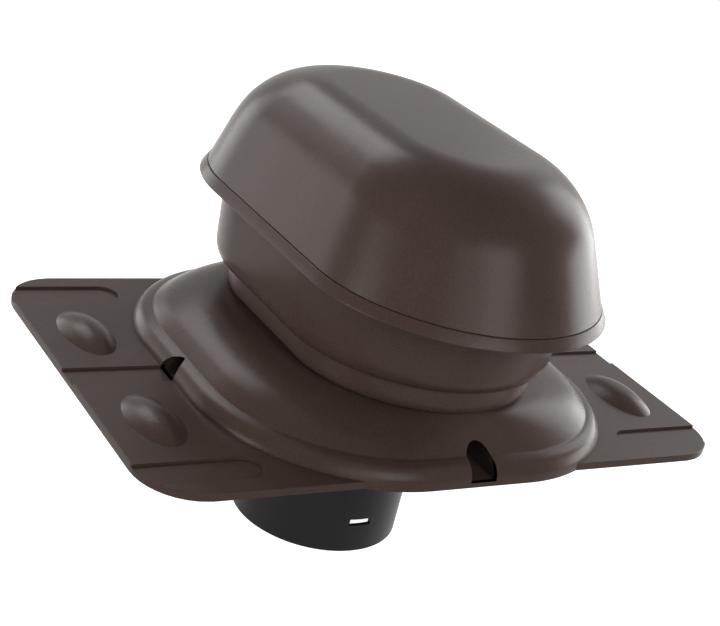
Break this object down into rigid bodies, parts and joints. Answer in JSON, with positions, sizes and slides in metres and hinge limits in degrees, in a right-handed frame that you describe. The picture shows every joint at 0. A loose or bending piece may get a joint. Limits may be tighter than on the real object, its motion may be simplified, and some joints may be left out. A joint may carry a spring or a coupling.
{
  "type": "roof vent",
  "caption": "Roof vent with a flat flashing plate, domed base, oval collar and hood, and a round duct spigot below.",
  "frame": {"origin": "where the duct's axis crosses the underside of the flashing plate", "axes": "+Z square to the plate and away from the roof, +X along the plate's long side, +Y up the roof slope"},
  "size_m": [0.394, 0.313, 0.2777],
  "materials": {
    "hood_plastic": "fine-grained matte dark brown",
    "duct_plastic": "satin black",
    "seal_rubber": "matt black",
    "screw_steel": "plain"
  },
  "bodies": {
    "root": {"base_flashing": "hood_plastic", "duct_adapter": "duct_plastic", "throat_seal": "seal_rubber", "adapter_screws": "screw_steel", "collar": "hood_plastic", "collar_screws": "screw_steel", "insect_grille": "duct_plastic", "hood_carrier": "duct_plastic", "hood_screws": "screw_steel", "hood_rim": "hood_plastic", "hood_shell": "hood_plastic"}
  },
  "joints": []
}
